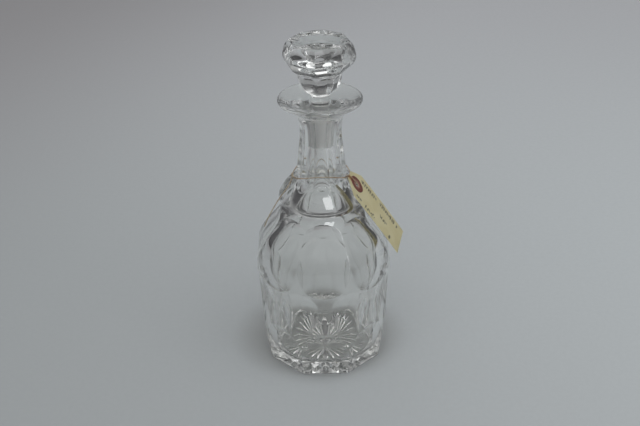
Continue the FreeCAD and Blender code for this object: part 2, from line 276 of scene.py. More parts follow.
def all_rings(levels):
    """Rings of (distance, angle). Plain round levels space their columns evenly, away from the panels."""
    even = np.arange(COLUMNS) * 2.0 * math.pi / COLUMNS
    rings = [level_ring(r, flat, lens, faces) if min(flat, lens) < r else None
             for r, _, flat, lens, faces, _, _ in levels]
    cut = [number for number, ring in enumerate(rings) if ring is not None]
    for number, level in enumerate(levels):
        if rings[number] is None:
            closest = min(cut, key=lambda other: abs(other - number))
            share = min(1.0, (abs(closest - number) - 1) / SETTLE)
            angles = rings[closest][:, 1] * (1.0 - share) + even * share
            rings[number] = np.stack([np.full(COLUMNS, level[0]), angles], 1)
    return rings


def cut_glass(levels, creases, twist=0.0):
    """Rows of vertices and the faces between them.

    A level is (radius, z, flat, lens, number of panels, waver, finish). A vertex on a crease is tagged with
    the number of its level.
    """
    bm = bmesh.new()
    level_tag = bm.verts.layers.int.new("level")
    rows = []
    for number, ((radius, z, _, _, _, waver, _), ring) in enumerate(zip(levels, all_rings(levels))):
        folded = any(math.hypot(radius - r, z - h) < ON_CREASE for r, h in creases)
        row = []
        for reach, angle in ring:
            turn = angle + twist
            ripple = 0.6 * math.sin(2.0 * turn + 0.031 * z) + 0.4 * math.sin(5.0 * turn - 0.054 * z + 1.3)
            reach = max(reach, LEAST_REACH) * (1.0 + waver * ripple)
            vert = bm.verts.new((reach * math.sin(turn) * MM, -reach * math.cos(turn) * MM, z * MM))
            vert[level_tag] = number + 1 if folded else 0
            row.append(vert)
        rows.append(row)
    for number in range(len(rows) - 1):
        low, high = rows[number], rows[number + 1]
        finish = levels[number][6] if levels[number][6] == levels[number + 1][6] else POLISHED
        for index in range(COLUMNS):
            after = (index + 1) % COLUMNS
            face = bm.faces.new((low[index], low[after], high[after], high[index]))
            face.material_index = finish
    return bm, rows, level_tag


def close_and_shade(bm, level_tag, name):
    """Merge what coincides, drop slivers, and keep the folds between surfaces and the star's edges sharp."""
    bmesh.ops.remove_doubles(bm, verts=bm.verts, dist=MERGE_DISTANCE)
    bmesh.ops.dissolve_degenerate(bm, dist=SLIVER, edges=bm.edges)
    bmesh.ops.recalc_face_normals(bm, faces=bm.faces)
    for face in bm.faces:
        face.smooth = True
    for edge in bm.edges:
        one, other = (vert[level_tag] for vert in edge.verts)
        edge.smooth = min(one, other) >= 0 and not (one and one == other)
    mesh = bpy.data.meshes.new(name)
    bm.to_mesh(mesh)
    bm.free()
    return new_piece(name, mesh)


def new_piece(name, mesh):
    """A mesh object in the scene, at the origin."""
    piece = bpy.data.objects.new(name, mesh)
    bpy.context.scene.collection.objects.link(piece)
    return piece


def star_underside(bm, ring, level_tag):
    """The flat underside inside the foot's edge, with its star of V grooves, all tagged -1 to stay sharp."""
    half_width = STAR_WIDEST * math.tan(math.pi / STAR_RAYS) * STAR_FULLNESS

    def vert(along, across, height, angle):
        place = (along * math.cos(angle) - across * math.sin(angle),
                 along * math.sin(angle) + across * math.cos(angle), height)
        new = bm.verts.new([value * MM for value in place])
        new[level_tag] = -1
        return new

    centre = vert(0.0, 0.0, 0.0, 0.0)
    step = 2.0 * math.pi / STAR_RAYS
    rays = []
    for index in range(STAR_RAYS):
        angle = index * step
        rays.append((vert(STAR_CENTRE_GAP, 0, 0, angle), vert(STAR_WIDEST, half_width, 0, angle),
                     vert(STAR_RADIUS, 0, 0, angle), vert(STAR_WIDEST, -half_width, 0, angle),
                     vert(STAR_WIDEST, 0, STAR_DEPTH, angle)))
    ring_angles = [math.atan2(v.co.y, v.co.x) for v in ring]
    count = len(ring)

    def nearest(angle):
        away = [abs((a - angle + math.pi) % (2.0 * math.pi) - math.pi) for a in ring_angles]
        return away.index(min(away))

    borders = [nearest((index + 0.5) * step) for index in range(STAR_RAYS)]
    for index in range(STAR_RAYS):
        inner, left, outer, right, deep = rays[index]
        next_inner, _, next_outer, next_right, _ = rays[(index + 1) % STAR_RAYS]
        for corners in ((inner, deep, left), (left, deep, outer), (outer, deep, right),
                        (right, deep, inner), (centre, inner, next_inner),
                        (inner, left, next_right, next_inner), (left, outer, next_outer, next_right),
                        (outer, ring[borders[index]], next_outer)):
            bm.faces.new(corners)
        place = borders[index - 1]
        while place != borders[index]:
            after = (place + 1) % count
            bm.faces.new((outer, ring[place], ring[after]))
            place = after


def levels_of(points, flats=(), lenses=(), faces=FACES, waver=0.0, finish=POLISHED):
    """Complete levels for (radius, z) points that all share the same rows of panels."""
    made = []
    for radius, z in points:
        flat = min([float(row(z)) for row in flats], default=np.inf)
        lens = min([float(row(z)) for row in lenses], default=np.inf)
        made.append((float(radius), float(z), flat, lens, faces, waver, finish))
    return made


def body_glass():
    """Foot, body, ring, neck, lip and the hollow inside, as one surface."""
    long_panels, lens_panels = Smooth(LONG_PANELS).by_height(), Smooth(LENS_PANELS).by_height()
    flutes, foot_panels = Smooth(NECK_FLUTES).by_height(), Smooth(FOOT_PANELS).by_height()
    foot_edge = float(foot_panels(0.0)) - FOOT_ARRIS

    def foot_arris(z):
        return foot_edge + FOOT_ARRIS_SLOPE * z

    flats, lenses = (foot_panels, long_panels, foot_arris), (lens_panels,)
    seat_low = (plug_radius(SEAT_BOTTOM) + SEAT_CLEARANCE, SEAT_BOTTOM)
    seat_high = (plug_radius(SEAT_TOP) + SEAT_CLEARANCE, SEAT_TOP)
    body = np.vstack([FOOT_EDGE, Smooth(BODY_BLANK).with_panel_ends(0.85, flats + lenses)[1:]])
    neck = Smooth(NECK_BLANK).with_panel_ends(0.5, (flutes,))[1:]
    lip = np.vstack([arc(*RIM, 17)[1:], Smooth(DISH).even(0.9)[1:],
                     arc(DISH[-1], MOUTH_EDGE, seat_high, 10)[1:]])
    hollow = Smooth(HOLLOW + [seat_low], start=HOLLOW_START, end=HOLLOW_END).even(1.5)[::-1]
    levels = levels_of(body, flats, lenses) + levels_of(neck, (flutes,), faces=NECK_FACES) + levels_of(lip)
    levels += levels_of(straight(seat_high, seat_low, 1.6)[1:], finish=GROUND)
    for number, (radius, z) in enumerate(hollow[1:]):
        # the blown wall wavers a little, and runs true near the seat and the floor
        share = min(1.0, number / 40.0, (len(hollow) - number) / 20.0)
        levels += levels_of([(radius, z)], waver=HOLLOW_WAVER * share, finish=INSIDE)
    levels += levels_of(straight((FLOOR_RADIUS, FLOOR), (0.0, FLOOR), 2.0)[1:], finish=INSIDE)
    creases = [FOOT_EDGE[0], BODY_BLANK[-1], RIM[0], seat_high, seat_low]
    bm, rows, level_tag = cut_glass(levels, creases)
    star_underside(bm, rows[0], level_tag)
    return close_and_shade(bm, level_tag, "decanter_crystal")


def stopper_glass():
    """Ground plug, shank, faceted bowl and eight-sided head with its hollowed top."""
    facets = (Smooth(HEAD_FACETS).by_height(), Smooth(BOWL_FACETS).by_height())
    plug_end = (plug_radius(PLUG_BOTTOM) - PLUG_CHAMFER, PLUG_BOTTOM)
    corner = (plug_radius(PLUG_BOTTOM + PLUG_CHAMFER), PLUG_BOTTOM + PLUG_CHAMFER)
    ground_top = (plug_radius(GROUND_TOP), GROUND_TOP)
    dish_centre = (0.0, TABLE_EDGE[1] - TABLE_DEPTH)
    ball = (TABLE_EDGE[0]**2 + TABLE_DEPTH**2) / (2.0 * TABLE_DEPTH)
    half_edge = TABLE_EDGE[0] / 2.0
    dish_middle = (half_edge, dish_centre[1] + ball - math.sqrt(ball**2 - half_edge**2))
    levels = levels_of(straight((0.0, PLUG_BOTTOM), plug_end, 1.4))
    levels += levels_of([corner], finish=GROUND)
    levels += levels_of(straight(corner, ground_top, 1.2)[1:], finish=GROUND)
    levels += levels_of(straight(ground_top, (PLUG_TOP_RADIUS, PLUG_TOP), 1.0)[1:])
    levels += levels_of(straight((PLUG_TOP_RADIUS, PLUG_TOP), BOWL[0], 1.0)[1:])
    levels += levels_of(Smooth(BOWL).with_panel_ends(0.4, facets)[1:], facets)
    levels += levels_of(Smooth(HEAD).with_panel_ends(0.4, facets)[1:], facets)
    levels += levels_of(straight(HEAD[-1], TABLE_EDGE, 0.5)[1:])
    levels += levels_of(arc(TABLE_EDGE, dish_middle, dish_centre, 24)[1:])
    creases = [plug_end, corner, BOWL[-1], HEAD[-1], TABLE_EDGE]
    bm, _, level_tag = cut_glass(levels, creases, math.radians(STOPPER_TWIST))
    return close_and_shade(bm, level_tag, "stopper_crystal")


# ---------------------------------------------------------------- twine
def loop_point(angle):
    """Centre of the twine at an angle round the neck; 0 is the front."""
    sideways = 0.5 - 0.5 * math.cos(2.0 * math.radians(angle))
    radius = LOOP_FRONT[0] + (LOOP_SIDE[0] - LOOP_FRONT[0]) * sideways
    height = LOOP_FRONT[1] + (LOOP_SIDE[1] - LOOP_FRONT[1]) * sideways
    return (radius * math.sin(math.radians(angle)), -radius * math.cos(math.radians(angle)), height)


def carried_frames(path):
    """A pair of cross directions at each point, carried along the path without twisting."""
    tangents = np.gradient(path, axis=0)
    tangents /= np.linalg.norm(tangents, axis=1)[:, None]
    side = np.cross(tangents[0], (0.31, 0.17, 0.93))
    sides = []
    for tangent in tangents:
        side = side - tangent * (side @ tangent)
        side = side / np.linalg.norm(side)
        sides.append(side)
    sides = np.array(sides)
    return tangents, sides, np.cross(tangents, sides)


def tube(mesh_data, path, radii, sides_count):
    """Add a round tube with closed ends along a path."""
    verts, faces = mesh_data
    _, one, two = carried_frames(path)
    start = len(verts)
    count = len(path)
    for index in range(count):
        for side in range(sides_count):
            turn = 2.0 * math.pi * side / sides_count
            offset = one[index] * math.cos(turn) + two[index] * math.sin(turn)
            verts.append(tuple((path[index] + offset * radii[index]) * MM))
    for index in range(count - 1):
        low = start + index * sides_count
        for side in range(sides_count):
            after = (side + 1) % sides_count
            faces.append((low + side, low + after, low + sides_count + after, low + sides_count + side))
    last = start + (count - 1) * sides_count
    faces.append(tuple(start + side for side in reversed(range(sides_count))))
    faces.append(tuple(last + side for side in range(sides_count)))


def twine(mesh_data, points, radius, chance, hairs):
    """Two plies of soft fibre twisted together, with loose hairs."""
    path = Smooth(points).even(TWINE_STEP)
    tangents, one, two = carried_frames(path)
    along = np.arange(len(path)) * TWINE_STEP
    swell = 1.0 + 0.07 * np.sin(along * 0.53 + chance.random() * 6.0) + 0.05 * np.sin(along * 1.71)
    for ply in (0.0, math.pi):
        turn = 2.0 * math.pi * along / TWINE_LAY + ply
        offset = one * np.cos(turn)[:, None] + two * np.sin(turn)[:, None]
        tube(mesh_data, path + offset * radius * PLY_OFFSET, radius * PLY_RADIUS * swell, 8)
    for _ in range(hairs):
        index = chance.randrange(2, len(path) - 2)
        turn = chance.uniform(0.0, 2.0 * math.pi)
        outward = one[index] * math.cos(turn) + two[index] * math.sin(turn)
        drift = tangents[index] * chance.uniform(-1.0, 1.0)
        length = chance.uniform(0.5, 1.5)
        curl = np.array([chance.uniform(-0.5, 0.5) for _ in range(3)])
        steps = np.linspace(0.0, 1.0, 5)[:, None]
        hair = (path[index] + outward * radius * 0.8 + (outward * 0.6 + drift) * length * steps
                + curl * steps**2)
        tube(mesh_data, hair, np.full(len(steps), HAIR_RADIUS), 3)


def knot_path():
    """A small tight overhand knot."""
    turn = np.linspace(0.0, 2.0 * math.pi, 60)[:-1]
    x = np.sin(turn) + 2.0 * np.sin(2.0 * turn)
    y = np.cos(turn) - 2.0 * np.cos(2.0 * turn)
    z = -1.3 * np.sin(3.0 * turn)
    return np.array(KNOT) + 0.4 * np.stack([z, x * 0.9, y], 1)


def from_data(name, mesh_data):
    """A smooth piece from lists of vertices and faces."""
    mesh = bpy.data.meshes.new(name)
    mesh.from_pydata(mesh_data[0], [], mesh_data[1])
    mesh.polygons.foreach_set("use_smooth", [True] * len(mesh.polygons))
    mesh.update()
    return new_piece(name, mesh)


def twine_pieces():
    """The loop with its knot and frayed tail, and the doubled strand through the tag."""
    chance = random.Random(11)
    data = ([], [])
    round_neck = [loop_point(-90.0 + 360.0 * index / 16) for index in range(1, 16)]
    twine(data, [KNOT] + round_neck + [KNOT], TWINE_RADIUS, chance, 70)
    twine(data, TAIL, TWINE_RADIUS, chance, 46)
    twine(data, knot_path(), TWINE_RADIUS, chance, 12)
    end = np.array(TAIL[-1])
    heading = end - np.array(TAIL[-2])
    heading /= np.linalg.norm(heading)
    for _ in range(26):
        splay = np.array([chance.uniform(-1.0, 1.0) for _ in range(3)])
        steps = np.linspace(0.0, 1.0, 6)[:, None]
        fray = (end - heading * 0.6 + (heading * chance.uniform(1.2, 3.0) + splay * 0.5) * steps
                + splay * 0.5 * steps**2)
        tube(data, fray, np.linspace(0.07, 0.03, 6), 4)
    string = from_data("twine_loop_and_tail", data)
    # over the loop, down the front of the card, through its hole and back up behind it
    data = ([], [])
    beside_loop = TWINE_RADIUS + HITCH_RADIUS + HITCH_GAP
    surface = TAG_THICKNESS / 2.0 + PATCH_THICKNESS + HITCH_RADIUS + HITCH_GAP
    path = [on_tag(-TAG_START, -TAG_ASIDE, beside_loop - TAG_LIFT), on_tag(-1.1, -TAG_ASIDE + 0.1, -1.0),
            on_tag(-0.9, -TAG_ASIDE + 0.2, 0.2), on_tag(0.1, -TAG_ASIDE + 0.4, surface),
            on_tag(2.0, -TAG_ASIDE + 0.9, surface + 0.1), on_tag(HOLE_FROM_EDGE - 3.0, -0.8, surface),
            on_tag(HOLE_FROM_EDGE - 0.6, 0.0, 0.0), on_tag(HOLE_FROM_EDGE - 3.0, -0.8, -surface),
            on_tag(3.0, -TAG_ASIDE + 1.0, -surface - 0.1), on_tag(beside_loop, -TAG_ASIDE, 0.3 - TAG_LIFT)]
    twine(data, path, HITCH_RADIUS, chance, 14)
    return string, from_data("twine_through_tag", data)


# ---------------------------------------------------------------- tag
def on_tag(along, aside, lift):
    """A point by its distance down the tag, across it and above its middle plane."""
    heading, slope = math.radians(TAG_HEADING), math.radians(TAG_SLOPE)
    outward = np.array([math.cos(heading), math.sin(heading), 0.0])
    upward = np.array([0.0, 0.0, 1.0])
    down = outward * math.cos(slope) - upward * math.sin(slope)
    across = np.array([-math.sin(heading), math.cos(heading), 0.0])
    front = outward * math.sin(slope) + upward * math.cos(slope)
    return (np.array(loop_point(TAG_PIVOT_ANGLE)) + down * (along + TAG_START)
            + across * (aside + TAG_ASIDE) + front * (lift + TAG_LIFT))


def card_bow(along, aside):
    """How far the card stands off its flat plane: handled paper never lies quite flat."""
    between = math.sin(math.pi * min(1.0, max(0.0, along - BOW_START) / (TAG_LENGTH - BOW_START)))
    return BOW_HEIGHT * between + BOW_RIPPLE * between * math.sin(0.16 * aside + 0.05 * along)


def sheet_piece(name, places, faces, lift, thickness, round_edge):
    """A thin sheet over flat tag coordinates, which it also keeps as an attribute for its material."""
    mesh = bpy.data.meshes.new(name)
    verts = [on_tag(along, aside, lift + card_bow(along, aside)) * MM for along, aside in places]
    mesh.from_pydata([tuple(v) for v in verts], [], faces)
    mesh.polygons.foreach_set("use_smooth", [True] * len(mesh.polygons))
    mesh.update()
    place = mesh.attributes.new("tag_place", "FLOAT_VECTOR", "POINT")
    flat = [value for along, aside in places for value in (along, aside, 0.0)]
    place.data.foreach_set("vector", flat)
    piece = new_piece(name, mesh)
    thick = piece.modifiers.new("thickness", "SOLIDIFY")
    thick.thickness = thickness * MM
    thick.offset = 0.0
    soft = piece.modifiers.new("worn_edges", "BEVEL")
    soft.width = round_edge * MM
    soft.segments = 2
    soft.angle_limit = math.radians(50.0)
    return piece


def circle_points(radius, count, ragged=0.0):
    """Points round the tag's hole."""
    made = []
    for index in range(count):
        turn = 2.0 * math.pi * index / count
        reach = radius + ragged * (math.sin(5 * turn) + 0.7 * math.sin(11 * turn + 1.0))
        made.append(Vector((HOLE_FROM_EDGE + reach * math.cos(turn), reach * math.sin(turn))))
    return made


def loop_edges(start, count):
    """Edges that join count points, from start on, into a closed loop."""
    return [(start + index, start + (index + 1) % count) for index in range(count)]


def inside(along, aside, margin):
    """Whether a place on the card is clear of its outline and its hole by about margin."""
    half = min(TAG_WIDTH / 2.0, TAG_WIDTH / 2.0 - TAG_CLIP + along) - margin
    off_hole = math.hypot(along - HOLE_FROM_EDGE, aside) - HOLE_RADIUS
    return margin < along < TAG_LENGTH - margin and abs(aside) < half and off_hole > margin


def card_piece():
    """Manila card: two clipped corners, a punched hole and a slight bow."""
    half = TAG_WIDTH / 2.0
    corners = [(0.0, half - TAG_CLIP), (TAG_CLIP, half), (TAG_LENGTH, half), (TAG_LENGTH, -half),
               (TAG_CLIP, -half), (0.0, TAG_CLIP - half)]
    outline = []
    for index, corner in enumerate(corners):
        after = corners[(index + 1) % len(corners)]
        outline += [Vector(place) for place in straight(corner, after, 1.4)[:-1]]
    hole = circle_points(HOLE_RADIUS, 40)
    rows = [Vector((along, aside)) for along in np.arange(1.0, TAG_LENGTH, 1.5)
            for aside in np.arange(-16.5, 17.0, 1.5) if inside(along, aside, 0.7)]
    edges = loop_edges(0, len(outline)) + loop_edges(len(outline), len(hole))
    cut = delaunay_2d_cdt(outline + hole + rows, edges, [], 1, 1e-5)
    places, triangles = cut[0], cut[2]
    kept = []
    for triangle in triangles:
        middle = sum((places[index] for index in triangle), Vector((0.0, 0.0))) / 3.0
        if (middle - Vector((HOLE_FROM_EDGE, 0.0))).length > HOLE_RADIUS - 0.02:
            kept.append(tuple(triangle))
    return sheet_piece("manila_card", [tuple(p) for p in places], kept, 0.0, TAG_THICKNESS, 0.09)


def patch_piece(name, lift, seed):
    """A round reinforcement patch with a die-cut edge that isn't quite even."""
    count, levels = 72, 8
    rings = []
    for share in np.linspace(0.0, 1.0, levels + 1):
        rings.append(circle_points(HOLE_RADIUS + (PATCH_RADIUS - HOLE_RADIUS) * share, count, 0.05 * share))
    places = [tuple(point) for ring in rings for point in ring]
    faces = []
    for level in range(levels):
        low, high = level * count, (level + 1) * count
        for index in range(count):
            after = (index + 1) % count
            faces.append((low + index, low + after, high + after, high + index))
    piece = sheet_piece(name, places, faces, lift, PATCH_THICKNESS, 0.08)
    chance = random.Random(seed)
    phase = [chance.uniform(0.0, 6.28) for _ in range(2)]
    for vert in piece.data.vertices:
        x, y = vert.co.x / MM, vert.co.y / MM
        vert.co.z += 0.02 * MM * math.sin(4.8 * x + phase[0]) * math.sin(y + phase[1])
    return piece


# ---------------------------------------------------------------- materials
class Shader:
    """A material with a Principled shader and short ways to add nodes to it."""

    def __init__(self, name):
        self.material = bpy.data.materials.new(name)
        self.material.use_nodes = True
        self.tree = self.material.node_tree
        self.main = self.tree.nodes["Principled BSDF"]

    def set(self, **values):
        """Set inputs of the Principled shader, with _ for a space."""
        for name, value in values.items():
            self.main.inputs[name.replace("_", " ")].default_value = value
        return self

    def add(self, kind, settings=None, **inputs):
        """A new node, with settings, and inputs by name that take a value or a socket."""
        new = self.tree.nodes.new(kind)
        for name, value in (settings or {}).items():
            setattr(new, name, value)
        for name, value in inputs.items():
            self.feed(new.inputs[name.replace("_", " ")], value)
        return new

    def feed(self, socket, value):
        """Link a socket to an input, or set the input to a plain value."""
        if isinstance(value, bpy.types.NodeSocket):
            self.tree.links.new(value, socket)
        else:
            socket.default_value = value

    def math(self, operation, *values):
        new = self.add("ShaderNodeMath", {"operation": operation})
        for socket, value in zip(new.inputs, values):
            self.feed(socket, value)
        return new.outputs[0]

    def between(self, value, low, high, to_low=0.0, to_high=1.0):
        """Smooth step of a value, from to_low at low to to_high at high."""
        new = self.add("ShaderNodeMapRange", {"interpolation_type": "SMOOTHSTEP"}, Value=value, From_Min=low,
                       From_Max=high, To_Min=to_low, To_Max=to_high)
        return new.outputs[0]

    def noise(self, vector, scale, detail=3.0, roughness=0.5):
        new = self.add("ShaderNodeTexNoise", Vector=vector, Scale=scale, Detail=detail, Roughness=roughness)
        return new.outputs[0]

    def mix(self, share, one, other):
        new = self.add("ShaderNodeMix", {"data_type": "RGBA"})
        self.feed(new.inputs[0], share)
        self.feed(new.inputs[6], one)
        self.feed(new.inputs[7], other)
        return new.outputs[2]

    def bump(self, height, strength, distance):
        new = self.add("ShaderNodeBump", Height=height, Strength=strength, Distance=distance)
        self.tree.links.new(new.outputs[0], self.main.inputs["Normal"])

    def place(self):
        """Object coordinates, which are the frame's metres."""
        return self.add("ShaderNodeTexCoord").outputs["Object"]


def crystal(name, mirror, grain):
    """Clear lead crystal that mirrors by a share, with the faintest unevenness, finer for a larger grain."""
    made = Shader(name).set(Base_Color=(0.985, 0.985, 0.972, 1.0), Roughness=0.0, IOR=1.55,
                            Transmission_Weight=1.0, Specular_Tint=(mirror, mirror, mirror, 1.0))
    made.bump(made.noise(made.place(), grain, 2.0), 0.05, 0.0004)
    return made.material


def ground_glass():
    """Seat and plug, ground to a fine frost so that they seal."""
    made = Shader("ground_crystal").set(Base_Color=(0.99, 0.99, 0.98, 1.0), Roughness=0.5, IOR=1.55,
                                        Transmission_Weight=0.5)
    place = made.place()
    rings = made.add("ShaderNodeTexWave", {"bands_direction": "Z"}, Vector=place, Scale=420.0, Distortion=1.5,
                     Detail=2.0)
    grain = made.noise(place, 5200.0, 2.0)
    made.bump(made.math("ADD", made.math("MULTIPLY", rings.outputs[1], 0.35), grain), 0.35, 0.00006)
    return made.material


def twine_material():
    """Soft undyed twine, browner where it has been handled."""
    made = Shader("twine_fibre").set(Roughness=0.92)
    place = made.place()
    stain = made.between(made.noise(place, 70.0, 3.0), 0.42, 0.68)
    thread = made.between(made.noise(place, 900.0, 3.0), 0.3, 0.7)
    worn = made.mix(stain, (0.56, 0.46, 0.34, 1.0), (0.44, 0.28, 0.17, 1.0))
    colour = made.mix(made.math("MULTIPLY", thread, 0.4), worn, (0.72, 0.62, 0.48, 1.0))
    made.feed(made.main.inputs["Base Color"], colour)
    made.bump(made.noise(place, 1500.0, 4.0), 0.6, 0.0002)
    return made.material


# row, start, end, pitch and height of each stroke, in mm on the card
PEN_STROKES = [(11.2, 13.2, 33.0, 2.5, 1.7), (12.2, 37.5, 58.0, 2.3, 1.7), (-12.6, 13.0, 19.5, 2.2, 1.0),
               (-13.2, 24.5, 36.5, 3.1, 1.5), (-2.8, 41.0, 50.5, 2.7, 1.6), (11.4, 60.8, 62.6, 1.7, 1.1),
               (-12.6, 55.6, 58.6, 1.9, 1.2)]
PEN_LEAN, PEN_WIDTH = 0.22, (0.36, 0.62)


def pen_line(made, along, aside, row, start, end, pitch, height, wobble):
    """A loose wavy stroke of a pen along the tag, as thick on its slopes as on its turns."""
    turn_per_mm = 6.283 / pitch
    level = made.math("SUBTRACT", aside, row)
    leaned = made.math("ADD", along, made.math("MULTIPLY", level, PEN_LEAN))
    regular = made.math("MULTIPLY", leaned, turn_per_mm)
    phase = made.math("ADD", regular, made.math("MULTIPLY", wobble, 11.0))
    swell = made.between(wobble, 0.35, 0.65, 0.45 * height, 1.25 * height)
    wave = made.math("MULTIPLY", made.math("SINE", phase), swell)
    off = made.math("ABSOLUTE", made.math("SUBTRACT", level, wave))
    slope = made.math("MULTIPLY", made.math("MULTIPLY", made.math("COSINE", phase), swell), turn_per_mm)
    steep = made.math("SQRT", made.math("ADD", made.math("MULTIPLY", slope, slope), 1.0))
    line = made.between(made.math("DIVIDE", off, steep), *PEN_WIDTH, 1.0, 0.0)
    window = made.math("MULTIPLY", made.between(along, start, start + 0.3),
                       made.between(along, end, end + 0.3, 1.0, 0.0))
    gaps = made.between(made.math("SINE", made.math("MULTIPLY", along, 1.37)), -0.95, -0.8)
    return made.math("MULTIPLY", made.math("MULTIPLY", line, window), gaps)


def manila():
    """Buff card with paper fibres, handling marks, a little fading and loose strokes of ink."""
    made = Shader("manila_card_stock").set(Roughness=0.78, Transmission_Weight=0.22)
    made.feed(made.main.inputs["Specular IOR Level"], 0.3)
    tag = made.add("ShaderNodeAttribute", {"attribute_name": "tag_place"}).outputs["Vector"]
    split = made.add("ShaderNodeSeparateXYZ", Vector=tag)
    along, aside = split.outputs[0], split.outputs[1]
    stretched = made.add("ShaderNodeMapping", Vector=tag, Scale=(0.35, 1.6, 1.0)).outputs[0]
    fibres = made.between(made.noise(stretched, 1.9, 6.0, 0.7), 0.3, 0.7)
    clouds = made.between(made.noise(tag, 0.07, 3.0), 0.35, 0.65)
    colour = made.mix(clouds, (0.85, 0.77, 0.47, 1.0), (0.92, 0.85, 0.56, 1.0))
    colour = made.mix(made.math("MULTIPLY", fibres, 0.22), colour, (0.66, 0.58, 0.33, 1.0))
    foot = made.between(along, 52.0, 70.0)
    colour = made.mix(made.math("MULTIPLY", foot, 0.25), colour, (0.72, 0.65, 0.38, 1.0))
    rust = made.between(made.math("ABSOLUTE", made.math("ADD", aside, 2.2)), 1.3, 3.4, 1.0, 0.0)
    rust = made.math("MULTIPLY", rust, made.between(along, 3.0, 8.0, 1.0, 0.0))
    colour = made.mix(made.math("MULTIPLY", rust, 0.9), colour, (0.52, 0.25, 0.09, 1.0))
    wobble = made.noise(made.add("ShaderNodeCombineXYZ", X=along).outputs[0], 0.33, 2.0)
    strokes = [pen_line(made, along, aside, *stroke, wobble) for stroke in PEN_STROKES]
    ink = strokes[0]
    for stroke in strokes[1:]:
        ink = made.math("MAXIMUM", ink, stroke)
    pressed = made.between(made.noise(tag, 0.9, 2.0), 0.35, 0.6, 0.55, 1.0)
    colour = made.mix(made.math("MULTIPLY", ink, pressed), colour, (0.014, 0.013, 0.014, 1.0))
    made.feed(made.main.inputs["Base Color"], colour)
    made.bump(made.noise(stretched, 3.5, 5.0, 0.6), 0.25, 0.00012)
    return made.material


def patch_paper():
    """Red-brown gummed fibre patch, rubbed paler round the hole and on its high spots."""
    made = Shader("gummed_patch").set(Roughness=0.7)
    tag = made.add("ShaderNodeAttribute", {"attribute_name": "tag_place"}).outputs["Vector"]
    moved = made.add("ShaderNodeMapping", Vector=tag, Location=(-HOLE_FROM_EDGE, 0.0, 0.0)).outputs[0]
    out = made.add("ShaderNodeVectorMath", {"operation": "LENGTH"})
    made.feed(out.inputs[0], moved)
    mottle = made.noise(tag, 0.55, 4.0)
    from_hole = made.math("ADD", out.outputs[1], made.math("MULTIPLY", mottle, -4.0))
    rub = made.between(from_hole, 0.6, 3.2, 1.0, 0.0)
    colour = made.mix(made.between(mottle, 0.35, 0.7), (0.16, 0.045, 0.034, 1.0), (0.27, 0.088, 0.063, 1.0))
    colour = made.mix(made.math("MULTIPLY", rub, 0.6), colour, (0.56, 0.35, 0.28, 1.0))
    made.feed(made.main.inputs["Base Color"], colour)
    made.bump(made.noise(tag, 2.6, 5.0, 0.65), 0.35, 0.00012)
    return made.material


# painted light falloff: these paper colours make the floor lighter to the right and darker behind to the left;
# FLOOR_FAR is where it blends farther out
FLOOR_LEFT = (0.48, 0.50, 0.51, 1.0)
FLOOR_RIGHT = (0.70, 0.735, 0.755, 1.0)
FLOOR_AWAY = (0.62, 0.605, 0.635, 1.0)
FLOOR_BACK = (0.41, 0.395, 0.405, 1.0)
FLOOR_FAR = (0.52, 0.525, 0.535, 1.0)
# painted contact shadow round the foot: its colour, its centre a little behind and to the left, its reach from
# full to none in metres, and its share
FLOOR_CONTACT_SHADOW = (0.24, 0.225, 0.205, 1.0)
CONTACT_CENTRE, CONTACT_REACH, CONTACT_SHARE = (-0.004, 0.017, 0.0), (0.047, 0.080), 0.34


def floor_material():
    """Pale seamless paper with painted light falloff, darker behind to the left, and a painted soft shadow
    close round the foot.
    """
    made = Shader("studio_paper").set(Roughness=0.9)
    made.feed(made.main.inputs["Specular IOR Level"], 0.15)
    place = made.place()
    split = made.add("ShaderNodeSeparateXYZ", Vector=place)
    across, away = split.outputs[0], split.outputs[1]
    # painted light falloff: lighter to the right and away, darker behind to the left, then blended to FLOOR_FAR
    # far out
    rightward = made.math("ADD", across, made.math("MULTIPLY", away, 0.55))
    colour = made.mix(made.between(rightward, -0.55, 0.65), FLOOR_LEFT, FLOOR_RIGHT)
    colour = made.mix(made.between(away, 0.1, 1.1, 0.0, 0.7), colour, FLOOR_AWAY)
    behind = made.math("SUBTRACT", away, made.math("MULTIPLY", across, 1.6))
    colour = made.mix(made.between(behind, 0.5, 1.7, 0.0, 0.85), colour, FLOOR_BACK)
    reach = made.add("ShaderNodeVectorMath", {"operation": "LENGTH"})
    made.feed(reach.inputs[0], place)
    colour = made.mix(made.between(reach.outputs[1], 1.1, 2.4), colour, FLOOR_FAR)
    # painted contact shadow: the paper darkens close round the foot, centred a little behind and to the left
    beside = made.add("ShaderNodeVectorMath", {"operation": "DISTANCE"})
    made.feed(beside.inputs[0], place)
    made.feed(beside.inputs[1], CONTACT_CENTRE)
    shade = made.between(beside.outputs[1], *CONTACT_REACH, CONTACT_SHARE, 0.0)
    colour = made.mix(shade, colour, FLOOR_CONTACT_SHADOW)
    grain = made.between(made.noise(place, 240.0, 4.0), 0.3, 0.7)
    colour = made.mix(made.math("MULTIPLY", grain, 0.04), colour, (0.30, 0.32, 0.33, 1.0))
    made.feed(made.main.inputs["Base Color"], colour)
    made.bump(made.noise(place, 900.0, 3.0), 0.08, 0.0002)
    return made.material


# ---------------------------------------------------------------- the object
clear, inner, frosted = crystal("cut_crystal", 1.0, 90.0), crystal("hollow_wall", 0.3, 60.0), ground_glass()
fibre, card_stock, patch_stock = twine_material(), manila(), patch_paper()

bottle = body_glass()
plug = stopper_glass()
for glass in (bottle, plug):
    glass.data.materials.append(clear)
    glass.data.materials.append(frosted)
bottle.data.materials.append(inner)
string, hitch = twine_pieces()
card = card_piece()
front_lift = TAG_THICKNESS / 2.0 + PATCH_THICKNESS / 2.0 + 0.01
patches = [patch_piece("patch_front", front_lift, 3), patch_piece("patch_back", -front_lift, 4)]
for piece in (string, hitch):
    piece.data.materials.append(fibre)
card.data.materials.append(card_stock)
for piece in patches:
    piece.data.materials.append(patch_stock)

